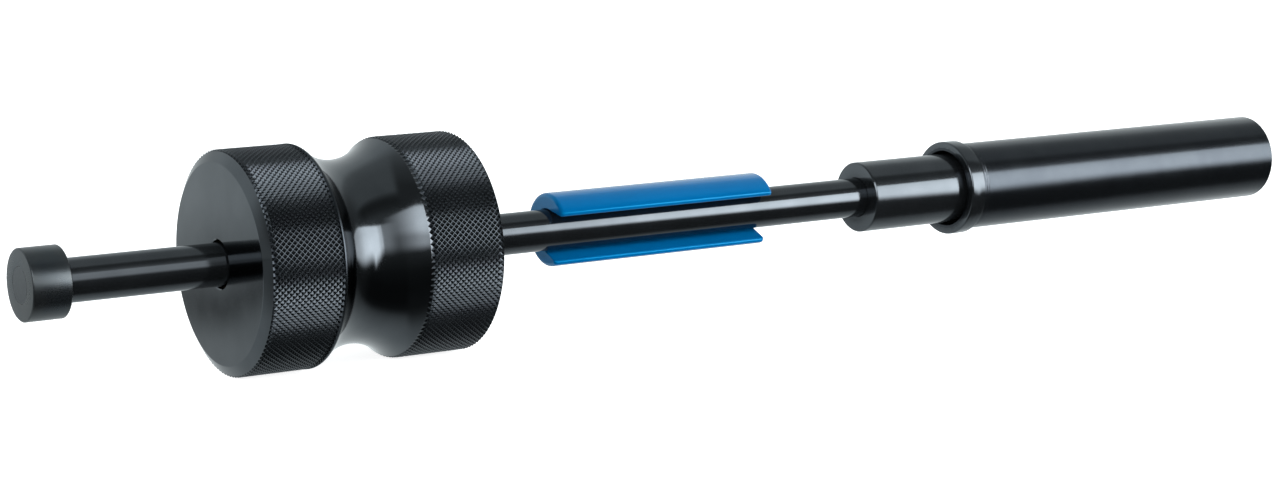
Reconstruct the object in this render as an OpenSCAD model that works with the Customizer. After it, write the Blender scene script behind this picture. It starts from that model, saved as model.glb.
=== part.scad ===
// Slide hammer puller. A turned weight slides on a pull rod between an end stop and a rod coupling, and the
// coupling's threaded head holds a puller sleeve with an open threaded socket for the tool.
// Millimetres. The rod axis is X, with the tool end at +X. Z is up, and the channel of the hand guard faces -Y.
// The origin is the centre of the sleeve's mouth.

/* [Pull rod] */
// Diameter of the rod
rod_d = 18; // [17:0.5:19]
// Length of rod between the end stop and the coupling
rod_free_len = 391; // [350:1:480]
// Diameter of the rod's threaded ends
rod_thread_d = 15; // [12:0.5:16]
// Length of rod above its thread that is held in the coupling's face
rod_pilot_len = 8; // [4:0.5:16]
// Length of the threaded end in the coupling
rod_tail_len = 50; // [30:1:70]

/* [End stop] */
// Diameter of the end stop
stop_d = 29.4; // [26:0.2:40]
// Length of the end stop
stop_len = 16.4; // [12:0.2:30]
// Chamfer on the end stop's edges
stop_chamfer = 0.5; // [0.2:0.1:1.5]
// Diameter of the end stop's lock screw
stop_screw_d = 5; // [3:0.5:6]

/* [Slide weight] */
// Diameter of the weight over its two bands
weight_d = 93.4; // [80:0.2:120]
// Length of the weight
weight_len = 107.3; // [95:0.1:130]
// Length of the front band, chamfer included
front_band_len = 34; // [24:0.5:38]
// Length of the waist between the bands
waist_len = 41.5; // [36:0.1:48]
// Smallest diameter of the waist
waist_d = 77; // [68:0.5:79]
// Radius of the shoulders where the bands turn into the waist
shoulder_r = 3.5; // [0.4:0.1:4]
// Chamfer on the edge of the front face
weight_chamfer = 3; // [1:0.2:5]
// Chamfer on the edge of the rear face
weight_rear_chamfer = 0.6; // [0.2:0.1:2]
// Distance of the weight from the end stop at rest
weight_rest_gap = 68; // [5:1:90]

/* [Weight bushes] */
// Length of each bush
bush_len = 25; // [12:1:36]
// Wall of each bush
bush_wall = 1; // [0.6:0.1:2]
// Depth of each bush below the weight's face
bush_recess = 5; // [1:0.5:8]

/* [Hand guard] */
// Outer diameter of the guard
guard_d = 32.2; // [32:0.2:40]
// Length of the guard
guard_len = 111; // [80:1:125]
// Distance from the rod's centre line to the lips of the guard's open side
guard_mouth = 10.5; // [8:0.1:10.6]
// Angle by which each wall of the channel opens towards the lips
guard_flare = 6; // [2:0.5:7]
// Angle of the open side below the horizontal
guard_tilt = 15.5; // [0:0.5:60]
// Radius on the outer edge of each lip
lip_outer_r = 1.2; // [0.4:0.1:1.3]
// Radius on the inner edge of each lip
lip_inner_r = 1; // [0.3:0.1:1.1]
// Radius on the outer edge of the guard's ends
guard_end_r = 1.6; // [0.4:0.1:2]
// Distance of the guard from the coupling at rest
guard_rest_gap = 57; // [20:1:70]

/* [Rod coupling] */
// Diameter of the coupling's neck
neck_d = 32.4; // [30:0.2:33]
// Length of neck that stands out of the sleeve
neck_len = 52; // [30:1:80]
// Chamfer on the edge of the neck's face
neck_chamfer = 0.6; // [0.2:0.1:2]
// Diameter of the coupling's threaded head
head_d = 35; // [34:0.2:36]
// Length of the threaded head
head_len = 36; // [20:1:50]
// Diameter of the coupling's lock screw
neck_screw_d = 6; // [4:0.5:8]
// Distance of the coupling's lock screw from the neck's face
neck_screw_place = 28; // [22:1:40]

/* [Puller sleeve] */
// Outer diameter of the sleeve
sleeve_d = 40.5; // [40:0.1:44]
// Length of the sleeve with its ring
sleeve_len = 196; // [160:1:240]
// Depth at which the coupling's head starts
head_depth = 14; // [6:1:20]
// Diameter of the sleeve's bore between its two threads
core_d = 31; // [26:0.5:33]
// Diameter of the threaded tool socket over the tips of its thread
socket_d = 34.4; // [34:0.1:36]
// Depth of the threaded tool socket
socket_depth = 50; // [30:1:60]
// Chamfer on the sleeve's outer edge at the mouth
mouth_chamfer = 0.8; // [0.2:0.1:1.5]

/* [Sleeve ring] */
// Outer diameter of the ring
ring_d = 43.8; // [43:0.2:50]
// Width of the ring
ring_w = 8; // [4:0.5:12]
// Depth of the ring's seat in the sleeve
ring_seat = 1; // [0.5:0.1:1.2]
// Chamfer on the ring's edges
ring_chamfer = 0.5; // [0.2:0.1:1]

/* [Clearances] */
// Radial running clearance of the bushes on the rod and in the weight
running_gap = 0.05; // [0.02:0.01:0.09]
// Radial clearance of the fixed seats and threads
seat_gap = 0.03; // [0.02:0.01:0.1]
// Clearance round the rod in the guard's channel
guard_gap = 0.3; // [0.2:0.05:1]

/* [Hidden] */

$fn = 96;
// Overrun of a cut past the surface it opens
cut = 1;
// Chamfer on the rod's ends
rod_chamfer = 1;
// Chamfer at the mouth of a bore
bore_chamfer = 0.4;
// Points along each round of the weight's waist
arc_steps = 10;
// Share of a lock screw's diameter that its hex socket takes
hex_share = 0.5;
// Share of a lock screw's length that its hex socket takes
hex_depth_share = 0.5;
// Share of a lock screw's diameter by which it sits below the surface
screw_sink_share = 0.1;

black_steel = "#23262a";
oxide_steel = "#2d3238";
bush_bronze = "#9a7b45";
guard_blue = "#0a6fb8";
screw_black = "#1b1d20";

// Places along the rod axis, counted back from the sleeve's mouth
ring_x = -sleeve_len;
neck_x = ring_x - neck_len;
stop_x = neck_x - rod_free_len;
rod_x = stop_x - stop_len;
weight_x = stop_x + weight_rest_gap;
guard_x = neck_x - guard_rest_gap - guard_len;
head_x = ring_x + head_depth;
head_end_x = head_x + head_len;
rod_tail_x = neck_x + rod_pilot_len;

// The waist is an S of two arcs on each side, a convex shoulder and a concave cove that meet on one slope
waist_half = waist_len / 2;
waist_depth = (weight_d - waist_d) / 2;
waist_slope = 2 * atan(waist_depth / waist_half);
cove_r = waist_half / sin(waist_slope) - shoulder_r;

bush_bore_d = rod_d + 2 * running_gap;
bush_d = bush_bore_d + 2 * bush_wall;
weight_bore_d = bush_d + 2 * running_gap;

// Solid turned about the rod axis. Each point is [place along the axis, radius].
module turned(points)
    rotate([0, 90, 0])
        rotate_extrude()
            polygon([for (p = points) [p[1], p[0]]]);

// Round bar from x1 to x2 with a chamfer on each end
module chamfered_bar(x1, x2, d, c1, c2)
    turned([[x1, 0], [x1, d / 2 - c1], [x1 + c1, d / 2], [x2 - c2, d / 2], [x2, d / 2 - c2], [x2, 0]]);

// Plain round cut from x1 to x2
module bore(x1, x2, d)
    translate([x1, 0, 0])
        rotate([0, 90, 0])
            cylinder(h = x2 - x1, d = d);

// Countersink of a bore at x, opening towards dir
module bore_edge(x, d, dir)
    turned(dir > 0
        ? [[x - bore_chamfer, 0], [x - bore_chamfer, d / 2], [x + cut, d / 2 + bore_chamfer + cut], [x + cut, 0]]
        : [[x - cut, 0], [x - cut, d / 2 + bore_chamfer + cut], [x + bore_chamfer, d / 2], [x + bore_chamfer, 0]]);

// Screw hole from the axis out to +Y
module screw_hole(x, d, reach)
    translate([x, 0, 0])
        rotate([-90, 0, 0])
            cylinder(h = reach + cut, d = d);

// Hex socket lock screw that runs radially along +Y, from radius r1 to just under radius r2
module lock_screw(x, d, r1, r2) {
    screw_d = d - 2 * seat_gap;
    screw_len = r2 - r1 - d * screw_sink_share;
    translate([x, r1, 0])
        rotate([-90, 0, 0])
            difference() {
                cylinder(h = screw_len, d = screw_d);
                translate([0, 0, screw_len * (1 - hex_depth_share)])
                    cylinder(h = screw_len, d = screw_d * hex_share / cos(30), $fn = 6);
            }
}

module pull_rod()
    color(black_steel) {
        thread_r = rod_thread_d / 2;
        rod_r = rod_d / 2;
        tail_end_x = rod_tail_x + rod_tail_len;
        turned([[rod_x, 0], [rod_x, thread_r - rod_chamfer], [rod_x + rod_chamfer, thread_r],
                [stop_x, thread_r], [stop_x, rod_r], [rod_tail_x, rod_r], [rod_tail_x, thread_r],
                [tail_end_x - rod_chamfer, thread_r], [tail_end_x, thread_r - rod_chamfer], [tail_end_x, 0]]);
    }

stop_screw_x = rod_x + stop_len / 2;

module end_stop()
    color(oxide_steel)
        difference() {
            chamfered_bar(rod_x, stop_x, stop_d, stop_chamfer, stop_chamfer);
            bore(rod_x - cut, stop_x + cut, rod_thread_d + 2 * seat_gap);
            screw_hole(stop_screw_x, stop_screw_d, stop_d / 2);
        }

module end_stop_lock_screw()
    color(screw_black)
        lock_screw(stop_screw_x, stop_screw_d, rod_thread_d / 2 + seat_gap, stop_d / 2);

// Points of one shoulder and half of the cove, from the band's edge down to the middle of the waist
function waist_side() = [
    for (i = [0 : arc_steps])
        let (a = waist_slope * i / arc_steps)
            [shoulder_r * sin(a), weight_d / 2 - shoulder_r * (1 - cos(a))],
    for (i = [1 : arc_steps])
        let (a = waist_slope * (1 - i / arc_steps))
            [waist_half - cove_r * sin(a), waist_d / 2 + cove_r * (1 - cos(a))]
];

module slide_weight() {
    waist_x = weight_x + front_band_len;
    rear_x = weight_x + weight_len;
    weight_r = weight_d / 2;
    side = waist_side();
    color(black_steel)
        difference() {
            turned(concat(
                [[weight_x, 0], [weight_x, weight_r - weight_chamfer], [weight_x + weight_chamfer, weight_r]],
                [for (p = side) [waist_x + p[0], p[1]]],
                [for (i = [len(side) - 2 : -1 : 0]) [waist_x + waist_len - side[i][0], side[i][1]]],
                [[rear_x - weight_rear_chamfer, weight_r], [rear_x, weight_r - weight_rear_chamfer], [rear_x, 0]]
            ));
            bore(weight_x - cut, rear_x + cut, weight_bore_d);
            bore_edge(weight_x, weight_bore_d, -1);
            bore_edge(rear_x, weight_bore_d, 1);
        }
}

module weight_bush(x)
    color(bush_bronze)
        difference() {
            bore(x, x + bush_len, bush_d);
            bore(x - cut, x + bush_len + cut, bush_bore_d);
        }

module weight_bush_front()
    weight_bush(weight_x + bush_recess);

module weight_bush_rear()
    weight_bush(weight_x + weight_len - bush_recess - bush_len);

// Half width of the guard's channel at distance u from the rod's centre line, towards the lips
function channel_half(u) = (rod_d / 2 + guard_gap) / cos(guard_flare) + u * tan(guard_flare);

// Cuts away the outer edge of one lip down to its radius
module lip_outer_edge() {
    lip_u = guard_mouth - lip_outer_r;
    lip_v = sqrt(pow(guard_d / 2 - lip_outer_r, 2) - pow(lip_u, 2));
    corner_v = sqrt(pow(guard_d / 2, 2) - pow(guard_mouth, 2));
    reach = (guard_d / 2) / (guard_d / 2 - lip_outer_r);
    difference() {
        polygon([[lip_u, lip_v], [guard_mouth + cut, lip_v], [guard_mouth + cut, corner_v + cut],
                 [lip_u * reach, lip_v * reach + cut], [lip_u * reach, lip_v * reach]]);
        translate([lip_u, lip_v])
            circle(r = lip_outer_r);
    }
}

// Cuts away the inner edge of one lip down to its radius
module lip_inner_edge() {
    lip_u = guard_mouth - lip_inner_r;
    lip_v = channel_half(lip_u) + lip_inner_r / cos(guard_flare);
    wall_u = lip_u + lip_inner_r * sin(guard_flare);
    wall_v = lip_v - lip_inner_r * cos(guard_flare);
    difference() {
        polygon([[lip_u, lip_v], [wall_u, wall_v], [wall_u, wall_v - cut], [guard_mouth + cut, wall_v - cut],
                 [guard_mouth + cut, lip_v]]);
        translate([lip_u, lip_v])
            circle(r = lip_inner_r);
    }
}

// Section of the guard with its open side towards +X of the drawing
module guard_section() {
    channel_r = rod_d / 2 + guard_gap;
    lip_end = guard_mouth + cut;
    wall_u = -channel_r * sin(guard_flare);
    wall_v = channel_r * cos(guard_flare);
    difference() {
        circle(d = guard_d);
        translate([guard_mouth, -guard_d])
            square([guard_d, 2 * guard_d]);
        circle(r = channel_r);
        polygon([[wall_u, wall_v], [lip_end, channel_half(lip_end)], [lip_end, -channel_half(lip_end)],
                 [wall_u, -wall_v]]);
        for (side = [0, 1])
            mirror([0, side, 0]) {
                lip_outer_edge();
                lip_inner_edge();
            }
    }
}

// Bar that the guard is cut from, with rounded ends
module guard_blank()
    translate([guard_x, 0, 0])
        rotate([0, 90, 0])
            rotate_extrude()
                difference() {
                    square([guard_d / 2, guard_len]);
                    for (end = [0, 1])
                        translate([guard_d / 2 - guard_end_r, end * (guard_len - guard_end_r)])
                            difference() {
                                translate([0, (end - 1) * cut])
                                    square([guard_end_r + cut, guard_end_r + cut]);
                                translate([0, (1 - end) * guard_end_r])
                                    circle(r = guard_end_r);
                            }
                }

module hand_guard()
    color(guard_blue)
        intersection() {
            guard_blank();
            translate([guard_x - cut, 0, 0])
                rotate([90, 0, 90])
                    linear_extrude(guard_len + 2 * cut)
                        rotate(180 + guard_tilt)
                            guard_section();
        }

neck_screw_x = neck_x + neck_screw_place;

module rod_coupling()
    color(black_steel)
        difference() {
            turned([[neck_x, 0], [neck_x, neck_d / 2 - neck_chamfer], [neck_x + neck_chamfer, neck_d / 2],
                    [head_x, neck_d / 2], [head_x, head_d / 2], [head_end_x, head_d / 2], [head_end_x, 0]]);
            bore(neck_x - cut, rod_tail_x, rod_d + 2 * seat_gap);
            bore(neck_x, rod_tail_x + rod_tail_len, rod_thread_d + 2 * seat_gap);
            screw_hole(neck_screw_x, neck_screw_d, neck_d / 2);
        }

module coupling_lock_screw()
    color(screw_black)
        lock_screw(neck_screw_x, neck_screw_d, rod_thread_d / 2 + seat_gap, neck_d / 2);

ring_seat_d = sleeve_d - 2 * ring_seat;

module puller_sleeve()
    color(oxide_steel)
        difference() {
            turned([[ring_x, 0], [ring_x, ring_seat_d / 2], [ring_x + ring_w, ring_seat_d / 2],
                    [ring_x + ring_w, sleeve_d / 2], [-mouth_chamfer, sleeve_d / 2],
                    [0, sleeve_d / 2 - mouth_chamfer], [0, 0]]);
            bore(ring_x - cut, head_end_x, head_d + 2 * seat_gap);
            bore(ring_x, 0, core_d);
            bore(-socket_depth, cut, socket_d);
            bore_edge(0, socket_d, 1);
            bore_edge(ring_x, head_d + 2 * seat_gap, -1);
        }

module sleeve_ring()
    color(black_steel)
        difference() {
            chamfered_bar(ring_x, ring_x + ring_w, ring_d, ring_chamfer, ring_chamfer);
            bore(ring_x - cut, ring_x + ring_w + cut, ring_seat_d + 2 * seat_gap);
        }

pull_rod();
end_stop();
end_stop_lock_screw();
slide_weight();
weight_bush_front();
weight_bush_rear();
hand_guard();
rod_coupling();
coupling_lock_screw();
puller_sleeve();
sleeve_ring();
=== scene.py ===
"""Looks of a slide hammer puller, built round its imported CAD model.

The rod lies along X with the tool end at +X. Every size is in metres, in the frame of the CAD model.
"""

import logging
import math
from dataclasses import KW_ONLY, dataclass
from enum import Enum
from typing import Callable, Iterable

import bmesh
import bpy
from mathutils import Matrix, Vector
from mathutils.kdtree import KDTree

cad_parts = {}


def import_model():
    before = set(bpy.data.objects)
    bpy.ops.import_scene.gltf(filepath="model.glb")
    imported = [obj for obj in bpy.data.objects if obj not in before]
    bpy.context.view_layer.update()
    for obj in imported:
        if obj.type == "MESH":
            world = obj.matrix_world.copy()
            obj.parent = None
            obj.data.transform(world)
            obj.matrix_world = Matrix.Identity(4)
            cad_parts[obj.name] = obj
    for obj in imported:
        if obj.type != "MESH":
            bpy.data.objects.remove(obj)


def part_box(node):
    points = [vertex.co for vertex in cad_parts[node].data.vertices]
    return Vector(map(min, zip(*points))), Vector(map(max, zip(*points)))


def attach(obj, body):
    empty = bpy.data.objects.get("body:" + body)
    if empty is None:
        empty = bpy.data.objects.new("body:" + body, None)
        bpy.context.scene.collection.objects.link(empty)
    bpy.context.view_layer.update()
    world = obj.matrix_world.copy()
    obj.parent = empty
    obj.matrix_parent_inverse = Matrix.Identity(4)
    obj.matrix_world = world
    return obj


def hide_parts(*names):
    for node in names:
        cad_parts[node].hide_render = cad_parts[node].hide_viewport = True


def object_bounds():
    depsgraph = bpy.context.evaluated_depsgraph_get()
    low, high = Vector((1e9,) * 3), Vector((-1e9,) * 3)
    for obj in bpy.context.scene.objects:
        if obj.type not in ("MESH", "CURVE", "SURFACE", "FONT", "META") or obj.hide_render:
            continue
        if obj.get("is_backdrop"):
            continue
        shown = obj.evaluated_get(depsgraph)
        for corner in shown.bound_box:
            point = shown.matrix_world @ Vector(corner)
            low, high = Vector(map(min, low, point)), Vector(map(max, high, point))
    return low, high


LOG = logging.getLogger("puller")
MM = 0.001
MERGE = 1e-7
LOOSE = 10 * MERGE
FULL_TURN = 2 * math.pi
QUARTER_TURN = math.pi / 2
ROUND_SEGMENTS = 4
SQUARE_ON = 0.999
RIM = slice(2, 6)
Point = tuple[float, float]
Triple = tuple[float, float, float]
Piece = bpy.types.Object
Socket = bpy.types.NodeSocket


class Body(Enum):
    """CAD bodies that the pieces ride on."""

    ROD = "rod_assembly"
    BUSHES = "weight_bushes"
    WEIGHT = "weight"
    GUARD = "guard"


class Slot(Enum):
    """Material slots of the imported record."""

    WEIGHT = "weight_steel"
    ROD = "rod_steel"
    STOP = "stop_steel"
    COUPLING = "coupling_steel"
    SLEEVE = "sleeve_steel"
    RING = "ring_steel"
    BUSH = "bush_bronze"
    GUARD = "guard_plastic"
    SCREW = "screw_steel"


class Part(Enum):
    """What edit mode selects: vertices, edges or faces."""

    VERTS = (True, False, False)
    EDGES = (False, True, False)
    FACES = (False, False, True)


# ---------------------------------------------------------------- modelling by operators


def deselect() -> None:
    """Leaves edit mode and clears the selection."""
    if bpy.context.object and bpy.context.object.mode != "OBJECT":
        bpy.ops.object.mode_set(mode="OBJECT")
    bpy.ops.object.select_all(action="DESELECT")


def choose(piece: Piece) -> None:
    """Selects one object alone and makes it the active one.

    Args:
        piece: the object.
    """
    deselect()
    bpy.context.view_layer.objects.active = piece
    piece.select_set(True)


def clear(piece: Piece, kind: Part) -> bmesh.types.BMesh:
    """Clears the selection of a piece that is being edited.

    Args:
        piece: the mesh object.
        kind: what is to be selected next.

    Returns:
        The mesh being edited.
    """
    bpy.context.tool_settings.mesh_select_mode = kind.value
    bpy.ops.mesh.select_all(action="DESELECT")
    return bmesh.from_edit_mesh(piece.data)


def edit(piece: Piece, kind: Part) -> bmesh.types.BMesh:
    """Opens a piece in edit mode with nothing selected.

    Args:
        piece: the mesh object to edit.
        kind: what is to be selected next.

    Returns:
        The mesh being edited, for picking elements by their place.
    """
    choose(piece)
    bpy.ops.object.mode_set(mode="EDIT")
    return clear(piece, kind)


def pick(elements: Iterable, test: Callable[[object], bool]) -> None:
    """Selects the elements that pass a test.

    Args:
        elements: vertices, edges or faces of the mesh being edited.
        test: says whether an element is picked.
    """
    for element in elements:
        if test(element):
            element.select_set(True)


def new_point(name: str, place: Vector) -> Piece:
    """Starts a mesh from a primitive merged to one vertex, selected in edit mode.

    Args:
        name: the new object's name.
        place: where the vertex goes.

    Returns:
        The new object, at the origin and in edit mode.
    """
    deselect()
    bpy.ops.mesh.primitive_plane_add(size=MM)
    piece = bpy.context.object
    piece.name = piece.data.name = name
    bpy.ops.object.mode_set(mode="EDIT")
    clear(piece, Part.VERTS)
    bpy.ops.mesh.select_all(action="SELECT")
    bpy.ops.mesh.merge(type="CENTER")
    bpy.ops.transform.translate(value=place)
    return piece


def extrude_to(steps: Iterable[Vector]) -> None:
    """Extrudes the selected vertex along a run of steps, each from one vertex to the next."""
    for step in steps:
        bpy.ops.mesh.extrude_vertices_move(TRANSFORM_OT_translate={"value": step})


def arc(centre: Point, radius: float, start: float, end: float, steps: int) -> list[Point]:
    """Gives the points of an arc from one angle to another in equal steps, both ends included."""
    angles = [start + (end - start) * i / steps for i in range(steps + 1)]
    return [(centre[0] + radius * math.cos(a), centre[1] + radius * math.sin(a)) for a in angles]


def outward(reach: float = MERGE) -> None:
    """Merges the doubles of the mesh being edited and turns every face outwards.

    Args:
        reach: vertices nearer to each other than this are merged.
    """
    bpy.ops.mesh.select_all(action="SELECT")
    bpy.ops.mesh.remove_doubles(threshold=reach)
    bpy.ops.mesh.normals_make_consistent(inside=False)


def smooth(piece: Piece, degrees: float = 32.0) -> None:
    """Shades a piece smooth up to an angle.

    Args:
        piece: the mesh object.
        degrees: edges sharper than this stay sharp.
    """
    choose(piece)
    bpy.ops.object.shade_smooth_by_angle(angle=math.radians(degrees))
    deselect()


def cut_with(piece: Piece, tool: Piece) -> None:
    """Cuts a tool's shape out of a piece and deletes the tool.

    Args:
        piece: the mesh object that is cut.
        tool: a closed mesh object.
    """
    modifier = piece.modifiers.new("cut", "BOOLEAN")
    modifier.operation = "DIFFERENCE"
    modifier.solver = "EXACT"
    modifier.object = tool
    choose(piece)
    bpy.ops.object.modifier_apply(modifier=modifier.name)
    bpy.data.objects.remove(tool)


def turn(name: str, profile: list[Point], steps: int, rounds: dict[Point, float] | None = None) -> Piece:
    """Turns a profile about the X axis, as on a lathe.

    The profile is extruded point by point, its corners are bevelled, and it is spun a full turn.

    Args:
        name: the new object's name.
        profile: points (place along X, radius), in order; the last may repeat the first.
        steps: how many sides the turned piece gets.
        rounds: radius of the round on a corner, by the corner's point.

    Returns:
        The turned mesh object.
    """
    piece = new_point(name, Vector((profile[0][0], 0, profile[0][1])))
    extrude_to(Vector((b[0] - a[0], 0, b[1] - a[1])) for a, b in zip(profile, profile[1:]))
    bpy.ops.mesh.select_all(action="SELECT")
    bpy.ops.mesh.remove_doubles(threshold=MERGE)
    for radius in sorted(set((rounds or {}).values())):
        corners = [Vector((x, 0, r)) for (x, r), size in rounds.items() if size == radius]
        pick(clear(piece, Part.VERTS).verts, lambda v: any((v.co - c).length < LOOSE for c in corners))
        bpy.ops.mesh.bevel(offset=radius, segments=ROUND_SEGMENTS, affect="VERTICES")
    bpy.ops.mesh.select_all(action="SELECT")
    bpy.ops.mesh.spin(steps=steps, angle=FULL_TURN, center=(0, 0, 0), axis=(1, 0, 0), use_auto_merge=True)
    outward()
    smooth(piece)
    return piece


def ring_section(low: float, high: float, bore: float, outer: float, edge: float, bore_edge: float) -> list[Point]:
    """Gives the section of a ring, for turning.

    Args:
        low: place of its first face.
        high: place of its second face.
        bore: radius of its bore.
        outer: radius of its outside.
        edge: chamfer on the outer edges; its corners are those of RIM.
        bore_edge: chamfer on the bore's edges.

    Returns:
        The section, whose last point repeats the first.
    """
    return [
        (low + bore_edge, bore), (low, bore + bore_edge), (low, outer - edge), (low + edge, outer),
        (high - edge, outer), (high, outer - edge), (high, bore + bore_edge), (high - bore_edge, bore),
        (low + bore_edge, bore),
    ]


def round_bar(name: str, foot: Vector, length: float, diameter: float, sides: int) -> Piece:
    """Makes a round bar that stands on a point and runs along +Y.

    Args:
        name: the new object's name.
        foot: centre of the bar's lower end.
        length: length of the bar.
        diameter: diameter of the bar.
        sides: number of sides.

    Returns:
        The bar as a closed mesh object at the origin.
    """
    deselect()
    bpy.ops.mesh.primitive_cylinder_add(vertices=sides, radius=diameter / 2, depth=length)
    bar = bpy.context.object
    bar.name = bar.data.name = name
    middle = foot + Vector((0, length / 2, 0))
    bar.data.transform(Matrix.Translation(middle) @ Matrix.Rotation(-QUARTER_TURN, 4, "X"))
    return bar


# ---------------------------------------------------------------- finishes


class Net:
    """Node tree with short calls for making and linking nodes."""

    def __init__(self, tree: bpy.types.NodeTree) -> None:
        """Keeps the tree that the calls work on."""
        self.tree = tree

    def node(self, kind: str, links: dict | None = None, **settings: object) -> bpy.types.Node:
        """Adds a node.

        Args:
            kind: the node's type, without the word ShaderNode.
            links: by input, a socket to link from or a value to set.
            settings: properties of the node.

        Returns:
            The new node.
        """
        made = self.tree.nodes.new(kind if kind.startswith("Node") else "ShaderNode" + kind)
        for key, value in settings.items():
            setattr(made, key, value)
        for key, value in (links or {}).items():
            if isinstance(value, Socket):
                self.tree.links.new(value, made.inputs[key])
            else:
                made.inputs[key].default_value = value
        return made

    def math(self, operation: str, *values: object, clamp: bool = False) -> Socket:
        """Adds a Math node and gives its result."""
        return self.node("Math", dict(enumerate(values)), operation=operation, use_clamp=clamp).outputs[0]

    def ease(self, value: object, low: object, high: object) -> Socket:
        """Maps a value from low..high to 0..1 with a soft start and end."""
        links = {"Value": value, "From Min": low, "From Max": high}
        return self.node("MapRange", links, interpolation_type="SMOOTHSTEP").outputs["Result"]

    def linear(self, value: object, low: float, high: float, to: Point = (0.0, 1.0)) -> Socket:
        """Maps a value linearly from low..high to the range given by to, and clamps it."""
        links = {"Value": value, "From Min": low, "From Max": high, "To Min": to[0], "To Max": to[1]}
        return self.node("MapRange", links).outputs["Result"]

    def mix(self, share: object, first: object, second: object) -> Socket:
        """Mixes two colours by a share; the Mix node keeps inputs 6 and 7 for them."""
        first, second = ((*c, 1.0) if isinstance(c, tuple) else c for c in (first, second))
        return self.node("Mix", {0: share, 6: first, 7: second}, data_type="RGBA").outputs[2]

    def curve(self, value: object, stops: list[Point]) -> Socket:
        """Adds a level that follows a value along a table.

        Args:
            value: what the level follows.
            stops: value and level of each stop; beyond the first and the last the level stays as it is there.

        Returns:
            The level.
        """
        low, high = stops[0][0], stops[-1][0]
        peak = max(abs(level) for _, level in stops)
        ramp = self.node("ValToRGB", {0: self.linear(value, low, high)})
        ramp.color_ramp.interpolation = "LINEAR"
        elements = ramp.color_ramp.elements
        elements.remove(elements[0])
        for number, (place, level) in enumerate(stops):
            share = (place - low) / (high - low)
            element = elements[0] if number == 0 else elements.new(share)
            element.position = share
            element.color = (level / peak / 2 + 0.5,) * 3 + (1.0,)
        return self.math("MULTIPLY_ADD", ramp.outputs["Color"], 2 * peak, -peak)

    def blend(self, share: object, first: object, second: object) -> Socket:
        """Mixes two levels by a share; the Mix node keeps inputs 2 and 3 for them."""
        return self.node("Mix", {0: share, 2: first, 3: second}).outputs[0]

    def noise(self, place: Socket, scale: object, detail: float, roughness: float = 0.5) -> Socket:
        """Adds a noise texture and gives its level."""
        links = {"Vector": place, "Scale": scale, "Detail": detail, "Roughness": roughness}
        return self.node("TexNoise", links).outputs["Fac"]

    def place(self, system: str) -> Socket:
        """Gives the place that is shaded, in one of the coordinate systems for textures."""
        return self.node("TexCoord").outputs[system]


class Effects:
    """Shader node groups that several finishes share, each built once."""

    def __init__(self) -> None:
        """Builds every group."""
        self.turning = self._turning()
        self.wear = self._wear()
        self.mottle = self._mottle()

    @staticmethod
    def _group(name: str, inputs: list[str], outputs: list[str]) -> tuple[Net, bpy.types.NodeOutputs]:
        """Starts a group.

        Args:
            name: the group's name.
            inputs: names of the inputs.
            outputs: names of the outputs.

        Returns:
            The group's net, and the sockets that its inputs come in by.
        """
        tree = bpy.data.node_groups.new(name, "ShaderNodeTree")
        for way, keys in (("INPUT", inputs), ("OUTPUT", outputs)):
            for key in keys:
                tree.interface.new_socket(key, in_out=way, socket_type="NodeSocketFloat")
        net = Net(tree)
        return net, net.node("NodeGroupInput").outputs

    def _turning(self) -> bpy.types.NodeTree:
        """Makes fine tool marks that run round the X axis, on round and on flat faces.

        Returns:
            A group with the outputs Height and Tone.
        """
        net, given = self._group("turning_marks", ["Per Metre"], ["Height", "Tone"])
        place = net.node("SeparateXYZ", {0: net.place("Object")})
        y, z = place.outputs["Y"], place.outputs["Z"]
        radius = net.math("SQRT", net.math("ADD", net.math("MULTIPLY", y, y), net.math("MULTIPLY", z, z)))
        along = net.math("MULTIPLY", place.outputs["X"], given["Per Metre"])
        across = net.math("MULTIPLY", radius, given["Per Metre"])
        flat = net.node("CombineXYZ", {"X": along, "Y": across}).outputs[0]
        fine = net.noise(flat, scale=1.0, detail=3.0, roughness=0.65)
        net.node("NodeGroupOutput", {"Height": fine, "Tone": net.noise(flat, scale=0.08, detail=2.0)})
        return net.tree

    def _wear(self) -> bpy.types.NodeTree:
        """Makes a mask of rubbed edges, broken up by noise.

        Returns:
            A group with the output Mask.
        """
        net, given = self._group("edge_wear", ["Radius", "Gain", "Grain"], ["Mask"])
        bevel = net.node("Bevel", {"Radius": given["Radius"]}, samples=6)
        plain = net.node("NewGeometry").outputs["Normal"]
        dot = net.node("VectorMath", {0: bevel.outputs[0], 1: plain}, operation="DOT_PRODUCT").outputs["Value"]
        edge = net.math("MULTIPLY", net.math("SUBTRACT", 1.0, dot), given["Gain"], clamp=True)
        noise = net.noise(net.place("Object"), given["Grain"], detail=4.0)
        net.node("NodeGroupOutput", {"Mask": net.math("MULTIPLY", edge, net.ease(noise, 0.35, 0.65))})
        return net.tree

    def _mottle(self) -> bpy.types.NodeTree:
        """Makes the cloudy tone and the fine specks of an oxide skin or a moulded surface.

        Returns:
            A group with the outputs Cloud, Speck and Smear, each from 0 to 1.
        """
        net, given = self._group("mottle", ["Cloud Scale", "Speck Scale"], ["Cloud", "Speck", "Smear"])
        place = net.place("Object")
        cloud = net.noise(place, given["Cloud Scale"], detail=5.0)
        speck = net.noise(place, given["Speck Scale"], detail=2.0)
        drawn = net.node("Mapping", {"Vector": place, "Scale": (0.12, 1.0, 1.0)}).outputs[0]
        smear = net.noise(drawn, given["Cloud Scale"], detail=3.0)
        net.node("NodeGroupOutput", {
            "Cloud": net.ease(cloud, 0.3, 0.7), "Speck": net.ease(speck, 0.45, 0.75),
            "Smear": net.ease(smear, 0.35, 0.65),
        })
        return net.tree


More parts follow.
